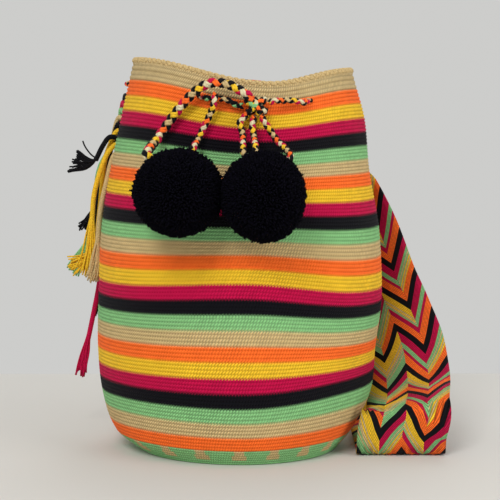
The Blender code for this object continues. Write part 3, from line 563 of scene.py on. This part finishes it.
# Tassel cords: nine cords of four plies of cotton yarn twisted hard, that hang from the strap's
# left seam, each ending in a lock of its own loosened yarn.
TASSEL_DIAMETER = 0.0045
TASSEL_PITCH = 0.0080
TASSEL_PLIES = 4
THREADS = 26
THREAD_RADIUS = 0.00070
THREAD_PARTS = 8
TASSELS = (
    ("beige_front", (-0.22, 0.0, -1.00), 0.034, 0.011, (
        (-0.1070, 0.0235, 0.0610), (-0.1130, 0.0170, 0.0830), (-0.1180, 0.0140, 0.1060),
        (-0.1206, 0.0129, 0.1330))),
    ("yellow_front", (-0.07, 0.0, -1.00), 0.050, 0.022, (
        (-0.1055, 0.0290, 0.0520), (-0.1130, 0.0240, 0.0600), (-0.1195, 0.0210, 0.0770),
        (-0.1240, 0.0195, 0.0950), (-0.1255, 0.0190, 0.1130))),
    ("navy_short", (-1.00, 0.0, 0.45), 0.022, 0.034, (
        (-0.1045, 0.0325, 0.0470), (-0.1110, 0.0280, 0.0460), (-0.1165, 0.0255, 0.0530),
        (-0.1215, 0.0240, 0.0630))),
    ("yellow_back", (-0.85, 0.0, -0.40), 0.032, 0.016, (
        (-0.1045, 0.0365, 0.0410), (-0.1080, 0.0362, 0.0450), (-0.1160, 0.0335, 0.0670),
        (-0.1185, 0.0310, 0.0930), (-0.1210, 0.0300, 0.1160), (-0.1235, 0.0300, 0.1360))),
    ("navy_lower", (-0.45, 0.0, -0.90), 0.030, 0.020, (
        (-0.1040, 0.0400, 0.0350), (-0.1068, 0.0418, 0.0395), (-0.1120, 0.0400, 0.0600),
        (-0.1215, 0.0385, 0.0830), (-0.1220, 0.0375, 0.1000))),
    ("beige_back", (-0.25, 0.0, -1.00), 0.034, 0.011, (
        (-0.1035, 0.0435, 0.0295), (-0.1068, 0.0472, 0.0350), (-0.1105, 0.0464, 0.0520),
        (-0.1165, 0.0440, 0.0810), (-0.1190, 0.0420, 0.1110), (-0.1205, 0.0420, 0.1360))),
    ("mint", (-0.58, 0.0, -1.00), 0.038, 0.013, (
        (-0.1025, 0.0470, 0.0235), (-0.1035, 0.0510, 0.0290), (-0.1085, 0.0520, 0.0490),
        (-0.1215, 0.0500, 0.0730), (-0.1260, 0.0485, 0.1030), (-0.1300, 0.0485, 0.1290))),
    ("magenta", (-0.20, 0.0, -1.00), 0.036, 0.013, (
        (-0.1010, 0.0500, 0.0175), (-0.1025, 0.0560, 0.0220), (-0.1050, 0.0580, 0.0400),
        (-0.1150, 0.0575, 0.0610), (-0.1165, 0.0550, 0.1010), (-0.1195, 0.0545, 0.1410),
        (-0.1235, 0.0540, 0.1740), (-0.1280, 0.0540, 0.1970), (-0.1325, 0.0540, 0.2180))),
    ("navy_long", (-0.10, 0.0, -1.00), 0.030, 0.010, (
        (-0.0990, 0.0520, 0.0115), (-0.1005, 0.0600, 0.0150), (-0.1035, 0.0650, 0.0340),
        (-0.1085, 0.0650, 0.0660), (-0.1120, 0.0640, 0.1110), (-0.1175, 0.0620, 0.1510),
        (-0.1205, 0.0610, 0.1720))),
)
rng = np.random.default_rng(7)
for number, (name, fall, loose, fan, points) in enumerate(TASSELS):
    colour = name.split("_")[0]
    axis, away = seam_axis(True, (number + 0.5) / len(TASSELS) - 0.5)
    start = axis + away * (SEAM_DIAMETER / 2 + TOUCH)
    stub = TASSEL_DIAMETER / 2
    way = [start, start + away * stub] + [np.array((x, y, BAG_HEIGHT - drop)) for x, y, drop in points]
    heading = unit(way[-1] - way[-2])
    way.append(way[-1] + heading * stub)
    route = smooth_route(way, ROUTE_STEP)
    _, side, out = carried(route, (0.1, 0.9, 0.2))
    gone = np.arange(len(route)) * route_length(route) / (len(route) - 1)
    plies = []
    for ply in range(TASSEL_PLIES):
        angle = (2 * np.pi * (gone / TASSEL_PITCH + ply / TASSEL_PLIES))[:, None]
        apart = out * np.cos(angle) + side * np.sin(angle)
        plies.append((route + apart * TASSEL_DIAMETER * 0.28, TASSEL_DIAMETER * 0.23,
                      TASSEL_DIAMETER * 0.22, apart, 0))
    cord = yarn_tubes("twisted_cord_" + name, plies, [yarns[colour]], sides=6)
    fall = unit(fall)
    front = unit(np.cross(fall, (0.0, 1.0, 0.0)))
    share = np.linspace(0.0, 1.0, THREAD_PARTS + 1)
    threads = []
    for _ in range(THREADS):
        turn = rng.uniform(0, 2 * np.pi)
        reach = math.sqrt(rng.uniform(0, 1))
        spread, deep = reach * math.cos(turn), reach * math.sin(turn)
        long = loose * rng.uniform(0.82, 1.02)
        lean = np.minimum(share * 1.6, 1.0)[:, None]
        steps = unit(heading * (1 - lean) + fall * lean) * long / THREAD_PARTS
        middle = way[-1] - heading * 0.002 + np.cumsum(steps, axis=0) - steps[0]
        wide = (TASSEL_DIAMETER * 0.38 + (fan * 0.5 - TASSEL_DIAMETER * 0.38) * share ** 1.2) * spread
        curl = np.sin(share * rng.uniform(3, 8) + turn) * share * 0.0011
        back = (deep * TASSEL_DIAMETER * 0.40 + curl * 0.6)[:, None]
        points = middle + front * (wide + curl)[:, None] + np.array((0.0, 1.0, 0.0)) * back
        level = np.tile((0.0, 1.0, 0.1), (len(points), 1))
        threads.append((points, THREAD_RADIUS, THREAD_RADIUS, level, 0))
    fringe = yarn_tubes("loose_yarn_" + name, threads, [yarns[colour]], sides=5)
    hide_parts("tassel_cord_" + name)
    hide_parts("tassel_end_" + name)
    for piece in (cord, fringe):
        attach(piece, "root")

# Pompoms: balls of navy cotton yarn, tied through the middle and cut round. Each cut end is a short
# blunt tuft on a round core, and they press flat against each other.
TUFTS = 5600
TUFT_SPREAD = 0.0007
TUFT_WIDTHS = (0.00045, 0.00085, 0.00078)
CORE_SHARE = 0.90
tuft_yarn, tree, shader = matt_cotton("navy cut cotton yarn", 0.95, 0.05, 0.0)
places = add_node(tree, "TexCoord")
patches = add_node(tree, "TexNoise", {"Vector": places.outputs["Object"], "Scale": 900.0, "Detail": 1.0})
tone = add_node(tree, "ValToRGB", {"Fac": patches.outputs["Fac"]},
                stops=((0.35, "#020203"), (0.70, "#0c0a16")))
tree.links.new(tone.outputs["Color"], shader.inputs["Base Color"])


def trimmed(ways, right, ends):
    """Share of the radius that stays where a ball is cut flatter, at its right and at top and bottom."""
    return 1 - right * np.clip(ways[..., 0], 0, None) ** 2 - ends * ways[..., 2] ** 2


for name, centre, neighbour, flat_right, flat_ends in (
        ("pompom_left", pompom_left, pompom_right, 0.0, 0.035),
        ("pompom_right", pompom_right, pompom_left, 0.13, 0.0)):
    toward = unit(neighbour - centre)
    limit = float(np.linalg.norm(neighbour - centre)) / 2 - TOUCH
    number = np.arange(TUFTS) + 0.5
    rise = 1 - 2 * number / TUFTS
    turn = number * math.pi * (1 + math.sqrt(5))
    flat = np.sqrt(1 - rise ** 2)
    ways = np.stack([flat * np.cos(turn), flat * np.sin(turn), rise], axis=-1)
    ways = unit(ways + rng.normal(0, 0.016, (TUFTS, 3)))
    lean = unit(ways + rng.normal(0, 0.07, (TUFTS, 3)))
    reach = POMPOM_RADIUS + 0.0011 * tuft(ways) + rng.normal(0, TUFT_SPREAD, TUFTS)
    reach = reach * trimmed(ways, flat_right, flat_ends)
    past = (ways @ toward) * reach - limit
    reach = np.where(past > 0, reach * limit / np.maximum((ways @ toward) * reach, limit), reach)
    root, tip = ways * (reach * 0.70)[:, None], ways * reach[:, None]
    bend = root + (tip - root) * 0.55 + (lean - ways) * 0.008
    side = unit(np.cross(ways, (0.31, 0.22, 0.92)))
    other = np.cross(ways, side)
    twist = rng.uniform(0, np.pi, TUFTS)[:, None]
    first = side * np.cos(twist) + other * np.sin(twist)
    second = np.cross(ways, first)
    rings = [points + (first * one + second * two) * size
             for points, size in zip((root, bend, tip), TUFT_WIDTHS)
             for one, two in ((1, 0), (0, 1), (-1, 0), (0, -1))]
    verts = np.stack(rings + [tip + ways * 0.0003], axis=1)
    base = (np.arange(TUFTS) * len(verts[0]))[:, None]
    sides = [(r + c, r + (c + 1) % 4, r + 4 + (c + 1) % 4, r + 4 + c) for r in (0, 4) for c in range(4)]
    quads = (base[:, :, None] + np.array(sides)[None]).reshape(-1, 4)
    crowns = [(8 + c, 8 + (c + 1) % 4, 12) for c in range(4)]
    tops = (base[:, :, None] + np.array(crowns)[None]).reshape(-1, 3)
    ball = mesh_piece(name + "_cut_yarn", verts.reshape(-1, 3) + centre, quads.tolist() + tops.tolist(),
                      [tuft_yarn])
    bpy.ops.object.select_all(action="DESELECT")
    bpy.ops.mesh.primitive_uv_sphere_add(segments=40, ring_count=24, radius=POMPOM_RADIUS * CORE_SHARE)
    core = bpy.context.object
    core.name = name + "_core"
    for vert in core.data.vertices:
        spot = np.array(vert.co)
        spot = spot * trimmed(unit(spot), flat_right, flat_ends)
        beyond = float(np.dot(spot, toward)) - limit + 0.001
        vert.co = spot - toward * max(beyond, 0.0) + centre
    core.data.materials.append(tuft_yarn)
    core.data.shade_smooth()
    for piece in (ball, core):
        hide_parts(name)
        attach(piece, "root")

# Body: one shell of tight single crochet in cotton yarn, worked round and round from the middle of
# the base: spotted base rows, 25 stripes of four rows, and a beige rim. The rows and each stitch are
# in relief, and the wall sags a little between them.
STITCHES = 300
ROWS_A_STRIPE = 4
BASE_ROWS = 6
RIM_ROWS = 4
STRIPES = 25
RIM_BAND = 0.015
BASE_BAND = 0.013
STRIPE_BOW = 0.0135
EDGE_DROP = 0.0018
BASE_BLOCKS = 20
MIDDLE_ROW = BASE_ROWS + 12 * ROWS_A_STRIPE
TOP_ROW = BASE_ROWS + STRIPES * ROWS_A_STRIPE
ALL_ROWS = TOP_ROW + RIM_ROWS
SAG = 0.00042
ROW_STANDOFF = 0.0003
ROW_HEIGHT = 0.00085
INSIDE_ROW_HEIGHT = 0.0006
UNDERSIDE_ROW_HEIGHT = 0.0005
FLOOR_ROW_HEIGHT = 0.0004


def stripe_edge(index):
    """Level in front of the lower edge of a stripe, counted from the top one. The middle stripes stand
    higher than even ones would."""
    count = index + 1
    pitch = (BAG_HEIGHT - RIM_BAND - BASE_BAND) / STRIPES
    return BAG_HEIGHT - RIM_BAND - pitch * count + STRIPE_BOW * math.sin(math.pi * count / STRIPES) ** 2


row_marks = [(0.0, 0.0)]
row_marks += [(BASE_ROWS + ROWS_A_STRIPE * (STRIPES - 1 - index), stripe_edge(index))
              for index in reversed(range(STRIPES))]
row_marks += [(TOP_ROW, BAG_HEIGHT - RIM_BAND), (ALL_ROWS, BAG_HEIGHT - EDGE_DROP)]


def row_relief(row):
    """Height of the crochet from 0 in the groove between two rows to 1 on a row."""
    return np.abs(np.sin(np.pi * row)) ** 0.7


def sag(angle, height):
    """Slow unevenness of the soft wall, always inwards, in metres."""
    wave = (np.sin(3 * angle + 40 * height) + np.sin(5 * angle - 61 * height + 1.3)
            + np.sin(2 * angle + 23 * height + 4.0) + 0.6 * np.sin(11 * angle + 90 * height))
    return -SAG * (wave + 3.6) / 2


def crochet(name, pattern):
    """Single crochet in dyed cotton: stitches in relief that lean to the right, each row of them 0.38 stitch
    past the last, with painted shade that darkens the pits and the grooves and leaves the raised yarn
    lighter, and wear in patches of about 17 mm. UV is in stitches and rows, and the pattern makes the colour
    from them."""
    material, tree, shader = matt_cotton(name, 0.85, 0.12, 0.03)
    places = add_node(tree, "TexCoord")
    spot = add_node(tree, "SeparateXYZ", {"Vector": places.outputs["UV"]})
    stitch, row = spot.outputs["X"], spot.outputs["Y"]
    up = add_node(tree, "FRACT", [row])
    rows_below = add_node(tree, "FLOOR", [row])
    onward = add_node(tree, "MULTIPLY_ADD", [rows_below, -0.38, stitch])
    slant = add_node(tree, "SUBTRACT", [onward, up])
    gap = add_node(tree, "PINGPONG", [slant, 0.5])
    groove = add_node(tree, "PINGPONG", [up, 0.5])
    yarn_high = add_node(tree, "MapRange", {"Value": gap, "From Max": 0.40}, interpolation_type="SMOOTHSTEP")
    row_high = add_node(tree, "MapRange", {"Value": groove, "From Max": 0.32, "To Min": 0.35},
                        interpolation_type="SMOOTHSTEP")
    high = add_node(tree, "MULTIPLY", [yarn_high, row_high])
    twist = add_node(tree, "MULTIPLY", [row, 2.5])
    twist = add_node(tree, "MULTIPLY_ADD", [stitch, 3.0, twist])
    plies = add_node(tree, "PINGPONG", [twist, 0.5])
    height = add_node(tree, "MULTIPLY_ADD", [plies, 0.2, high])
    relief = add_node(tree, "Bump", {"Strength": 0.8, "Distance": 0.0008, "Height": height})
    tree.links.new(relief.outputs["Normal"], shader.inputs["Normal"])
    cell = add_node(tree, "CombineXYZ", [add_node(tree, "FLOOR", [slant]), rows_below])
    chance = add_node(tree, "TexWhiteNoise", {"Vector": cell}, noise_dimensions="2D")
    worn = add_node(tree, "TexNoise", {"Vector": places.outputs["Object"], "Scale": 60.0, "Detail": 3.0})
    light = add_node(tree, "MULTIPLY_ADD", [worn.outputs["Fac"], 0.12, 0.53])
    light = add_node(tree, "MULTIPLY_ADD", [chance.outputs["Value"], 0.16, light])
    # Painted shade: the colour is darker in the pits and the grooves and lighter on the raised yarn,
    # following the relief height.
    light = add_node(tree, "MULTIPLY_ADD", [high, 0.72, light])
    tone = add_node(tree, "HueSaturation", {"Value": light, "Color": pattern(tree, stitch, row)})
    tree.links.new(tone.outputs["Color"], shader.inputs["Base Color"])
    return material


def stripes(tree, stitch, row):
    """Six colours in turn. Each stitch of a new colour reaches down into the row below it, as a tooth
    that leans to the right."""
    up = add_node(tree, "FRACT", [row])
    leaning = add_node(tree, "MULTIPLY_ADD", [up, -0.55, stitch])
    tooth = add_node(tree, "PINGPONG", [leaning, 0.5])
    above = add_node(tree, "SUBTRACT", [row, BASE_ROWS + 0.45])
    above = add_node(tree, "MULTIPLY_ADD", [tooth, 1.8, above])
    stripe = add_node(tree, "DIVIDE", [above, float(ROWS_A_STRIPE)])
    stripe = add_node(tree, "FLOOR", [stripe])
    stripe = add_node(tree, "MODULO", [stripe, 6.0])
    place = add_node(tree, "MULTIPLY_ADD", [stripe, 1 / 6, 0.5 / 6])
    turns = ("orange", "beige", "mint", "navy", "magenta", "yellow")
    ramp = add_node(tree, "ValToRGB", {"Fac": place},
                    stops=[(number / 6, COLOURS[colour]) for number, colour in enumerate(turns)])
    ramp.color_ramp.interpolation = "CONSTANT"
    return ramp.outputs["Color"]


def base_spots(tree, stitch, row):
    """Mint with beige blocks in rows 3 to 6, the lower two of them wider."""
    across = add_node(tree, "MULTIPLY_ADD", [stitch, BASE_BLOCKS / STITCHES, 0.07])
    middle = add_node(tree, "PINGPONG", [across, 0.5])
    lower = add_node(tree, "LESS_THAN", [row, 4.0])
    reach = add_node(tree, "MULTIPLY_ADD", [lower, 0.07, 0.13])
    inside_block = add_node(tree, "LESS_THAN", [middle, reach])
    started = add_node(tree, "GREATER_THAN", [row, 2.0])
    spot = add_node(tree, "MULTIPLY", [inside_block, started])
    mixed = add_node(tree, "Mix", {"Factor": spot, "A": to_linear(COLOURS["mint"]),
                                   "B": to_linear(COLOURS["beige"])}, data_type="RGBA")
    return mixed.outputs["Result"]


def plain_beige(tree, stitch, row):
    """Beige that is a little paler at every second row."""
    wave = add_node(tree, "PINGPONG", [row, 1.0])
    ramp = add_node(tree, "ValToRGB", {"Fac": wave}, stops=((0.0, "#bda473"), (1.0, "#c8b080")))
    return ramp.outputs["Color"]


striped_crochet = crochet("striped cotton crochet", stripes)
base_crochet = crochet("mint and beige cotton crochet of the base", base_spots)
rim_crochet = crochet("beige cotton crochet of the rim", plain_beige)


def shell(name, rows, columns, place_of, material):
    """A closed-round sheet of rows by columns. place_of gives points from stitch and row counts."""
    stitches, levels = np.meshgrid(np.arange(columns + 1) * STITCHES / columns, rows)
    points = place_of(stitches, levels)[:, :-1]
    faces, uvs = round_faces(stitches, levels)
    made = mesh_piece(name, points.reshape(-1, 3), faces.tolist(), [material], uvs)
    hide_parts("bag_body")
    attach(made, "root")


def stitch_place(stitches, rows):
    """Angle, level in front and sag of the wall. The base rows sag less, down to none at the floor."""
    angle = 2 * np.pi * stitches / STITCHES
    level = np.interp(rows, *zip(*row_marks))
    return angle, level, sag(angle, level) * np.clip(rows / BASE_ROWS, 0, 1)


def outside(stitches, rows):
    angle, level, sunk = stitch_place(stitches, rows)
    return row_point(angle, level, (row_relief(rows) - 1) * ROW_HEIGHT + ROW_STANDOFF + sunk)


def inside(stitches, rows):
    angle, level, sunk = stitch_place(stitches, rows)
    relief = (1 - row_relief(rows)) * INSIDE_ROW_HEIGHT
    return row_point(angle, np.maximum(level, WALL), -WALL + relief + sunk)


def underside(stitches, rounds):
    angle = 2 * np.pi * stitches / STITCHES
    points = row_point(angle, np.zeros_like(angle)) * (1 - rounds / FLAT_ROUNDS)[..., None]
    points[..., 2] = 0.0001 + (1 - row_relief(rounds)) * UNDERSIDE_ROW_HEIGHT
    return points


def bag_floor(stitches, rounds):
    points = inside(stitches, np.zeros_like(rounds)) * (1 - rounds / FLAT_ROUNDS)[..., None]
    points[..., 2] = WALL + row_relief(rounds) * FLOOR_ROW_HEIGHT
    return points


def row_thirds(first, last):
    """Rows in thirds, which keeps the groove at each row's end."""
    return np.concatenate([row + np.array((0.0, 0.34, 0.67)) for row in range(first, last)] + [[last]])


WALL_COLUMNS = 336
INSIDE_COLUMNS = 168
FLAT_COLUMNS = 144
FLAT_ROUNDS = 30
flat_rounds = np.arange(0.0, FLAT_ROUNDS - 0.1, 0.5)
shell("base_rows", row_thirds(0, BASE_ROWS), WALL_COLUMNS, outside, base_crochet)
shell("lower_stripes", row_thirds(BASE_ROWS, MIDDLE_ROW), WALL_COLUMNS, outside, striped_crochet)
shell("upper_stripes", row_thirds(MIDDLE_ROW, TOP_ROW), WALL_COLUMNS, outside, striped_crochet)
shell("rim_rows", row_thirds(TOP_ROW, ALL_ROWS), WALL_COLUMNS, outside, rim_crochet)
shell("inside_of_the_wall", np.arange(0.0, ALL_ROWS + 0.25, 0.5), INSIDE_COLUMNS, inside, striped_crochet)
shell("underside", flat_rounds, FLAT_COLUMNS, underside, base_crochet)
shell("bag_floor", flat_rounds, FLAT_COLUMNS, bag_floor, base_crochet)

# Braided edge of the mouth: a last round of thicker beige stitches worked along the rim, leaning over
# the wall's cut edge.
EDGE_DIAMETER = 0.0058
EDGE_PITCH = 0.0108
edge_angles = np.linspace(0.0, 2 * np.pi, 640)
edge_route = row_point(edge_angles, np.full(len(edge_angles), BAG_HEIGHT - EDGE_DROP),
                       -0.0013 + sag(edge_angles, BAG_HEIGHT))
edge_runs = braid_runs(edge_route, EDGE_DIAMETER, EDGE_PITCH, (0.0, 0.0, 1.0), [(0, 0)] * 4)
edge = yarn_tubes("braided_edge", edge_runs, [yarns["beige"]], sides=5)
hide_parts("bag_body")
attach(edge, "root")

# Strap: a thin limp ply-split band of looped cotton floats about 2 mm wide, sewn on at both ends. They
# run in four slanted arms of four columns, so their colours make zigzags, in intervals of 19 floats.
# A column shows 5.4 mm of a float's yarn.
FLOAT = 0.0020
ZIGZAG_RISE = 0.026
STRAIGHT_END = 0.055
INTERVAL = 19
FIRST = 7
COLUMNS = 16
COLUMN_YARN = 5.4
FLOAT_STANDOFF = 0.00015
FLOAT_RELIEF = 0.00055
float_colours = ("navy", "yellow", "beige", "mint", "magenta", "orange")
# The strap's floats get painted shade at their edges and a painted highlight in their middles.
float_yarns = [cotton_yarn("strap float " + colour, COLOURS[colour], painted_shade_and_highlight=0.65)
               for colour in float_colours]


def float_run(*stretches):
    """The colour number of each float of an arm in one interval, from counts and colours."""
    return [float_colours.index(colour) for count, colour in stretches for _ in range(count)]


run_gold = float_run((4, "navy"), (4, "yellow"), (1, "beige"), (1, "yellow"), (1, "beige"), (1, "mint"),
                     (3, "magenta"), (4, "orange"))
run_plain = float_run((4, "navy"), (5, "yellow"), (1, "beige"), (1, "yellow"), (2, "beige"), (1, "mint"),
                      (1, "beige"), (4, "mint"))
run_rose = float_run((4, "navy"), (5, "magenta"), (3, "mint"), (2, "magenta"), (5, "orange"))
run_mint = float_run((4, "navy"), (4, "magenta"), (2, "mint"), (1, "beige"), (1, "mint"), (1, "yellow"),
                     (1, "beige"), (1, "yellow"), (4, "orange"))
arm_runs = ((run_gold, run_plain, run_rose, run_mint), (run_plain, run_mint, run_gold, run_rose))
floats = int(strap_length / FLOAT)
shares = np.linspace(-0.5, 0.5, COLUMNS + 1)
wave = 1 - np.abs((4 * (shares + 0.5)) % 2 - 1)
starts = np.arange(floats * 2 + 1) / 2 * strap_length / floats
from_end = np.clip(np.minimum(starts, strap_length - starts) / STRAIGHT_END, 0, 1)
down = starts[:, None] + (ZIGZAG_RISE * eased(from_end))[:, None] * (wave[None] - 0.5)
across = np.broadcast_to(shares, down.shape)
ridge = (np.arange(len(starts)) % 2)[:, None]
edge_in = 1 - 0.5 * (np.abs(across) > 0.49)
relief = (STRAP_THICKNESS / 2 + FLOAT_STANDOFF - FLOAT_RELIEF * (1 - ridge)) * edge_in
valley = 1 - 0.18 * (np.abs((4 * (shares + 0.5) + 0.5) % 1 - 0.5) < 0.08)
faces = [strap_point(down, across, relief * valley), strap_point(down, across, -relief * valley)]
rows, columns = down.shape
verts = np.concatenate([face.reshape(-1, 3) for face in faces])
strap_quads, strap_slots, strap_uvs = [], [], []
for number in range(rows - 1):
    interval, within = divmod(number // 2 + FIRST, INTERVAL)
    for column in range(columns - 1):
        slot = arm_runs[interval % 2][column * 4 // COLUMNS][within]
        left_u, right_u = column * COLUMN_YARN, column * COLUMN_YARN + COLUMN_YARN
        low_v = (number % 2) / 2
        corners = ((left_u, low_v), (left_u, low_v + 0.5), (right_u, low_v + 0.5), (right_u, low_v))
        for sheet in range(2):
            first = sheet * rows * columns + number * columns + column
            quad = (first, first + columns, first + columns + 1, first + 1)
            strap_quads.append(quad if sheet == 0 else quad[::-1])
            strap_slots.append(slot)
            strap_uvs += corners if sheet == 0 else corners[::-1]
    for column in (0, columns - 1):
        first = number * columns + column
        quad = (first, first + rows * columns, first + rows * columns + columns, first + columns)
        strap_quads.append(quad if column == 0 else quad[::-1])
        strap_slots.append(arm_runs[interval % 2][0 if column == 0 else 3][within])
        strap_uvs += ((0, 0), (0, 1), (1, 1), (1, 0))
for number in (0, rows - 1):
    for column in range(columns - 1):
        first = number * columns + column
        quad = (first, first + 1, first + 1 + rows * columns, first + rows * columns)
        strap_quads.append(quad if number == 0 else quad[::-1])
        strap_slots.append(0)
        strap_uvs += ((0, 0), (1, 0), (1, 1), (0, 1))
strap = mesh_piece("woven_strap", verts, strap_quads, float_yarns, strap_uvs, strap_slots)
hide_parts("strap")
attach(strap, "root")

# Strap seams: a doubled navy cotton yarn, overcast over each end of the band and into the wall, so
# each seam is a row of close turns round the band's end.
SEAM_STEP = 0.0002
SEAM_PITCH = 0.0018
SEAM_CORE = 0.0011
SEAM_YARN = (0.0009, 0.0008)
for name, at_left in (("strap_seam_right", False), ("strap_seam_left", True)):
    axis = smooth_route([seam_axis(at_left, step / 4 - 0.5)[0] for step in range(5)], SEAM_STEP)
    _, side, out = carried(axis, (0.1, 0.9, 0.2))
    turn = (2 * np.pi * np.arange(len(axis)) * SEAM_STEP / SEAM_PITCH)[:, None]
    away = out * np.cos(turn) + side * np.sin(turn)
    core = (axis[::5], SEAM_CORE, SEAM_CORE, out[::5], 0)
    wound = (axis + away * (SEAM_DIAMETER / 2 - SEAM_YARN[1]), *SEAM_YARN, away, 0)
    seam = yarn_tubes(name.replace("strap_seam", "overcast_seam"), [core, wound], [yarns["navy"]], sides=6)
    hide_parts(name)
    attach(seam, "root")

# Floor and light: a plain pale floor, a broad soft light in front at the left, above the lens, and a
# weaker one from the right and from behind.
bpy.ops.object.select_all(action="DESELECT")
bpy.ops.mesh.primitive_plane_add(size=6.0)
floor = bpy.context.object
floor.name = "floor"
for vert in floor.data.vertices:
    vert.co.y = min(vert.co.y, 0.33)
paint = bpy.data.materials.new("pale matt floor")
paint.use_nodes = True
paint.node_tree.nodes["Principled BSDF"].inputs["Base Color"].default_value = to_linear("#d2d0cb")
paint.node_tree.nodes["Principled BSDF"].inputs["Roughness"].default_value = 0.9
floor.data.materials.append(paint)
for name, spot, aim, size, power in (("key", (-0.5, -1.5, 1.35), (0.0, 0.0, 0.15), 0.7, 17.0),
                                     ("fill right", (1.4, -0.9, 0.7), (0.05, 0.0, 0.12), 1.0, 8.5),
                                     ("back", (0.2, 1.3, 1.5), (0.0, 0.0, 0.10), 1.2, 7.0)):
    light = bpy.data.lights.new(name, "AREA")
    light.energy = power
    light.size = size
    lamp = bpy.data.objects.new(name, light)
    lamp.location = spot
    way = np.array(aim) - np.array(spot)
    lamp.rotation_euler = (math.atan2(math.hypot(way[0], way[1]), -way[2]), 0.0,
                           math.atan2(way[1], way[0]) - math.pi / 2)
    bpy.context.collection.objects.link(lamp)
world = bpy.data.worlds.new("room")
world.use_nodes = True
world.node_tree.nodes["Background"].inputs["Color"].default_value = to_linear("#dcdcda")
world.node_tree.nodes["Background"].inputs["Strength"].default_value = 0.85
bpy.context.scene.world = world
bpy.context.scene.view_settings.view_transform = "Standard"
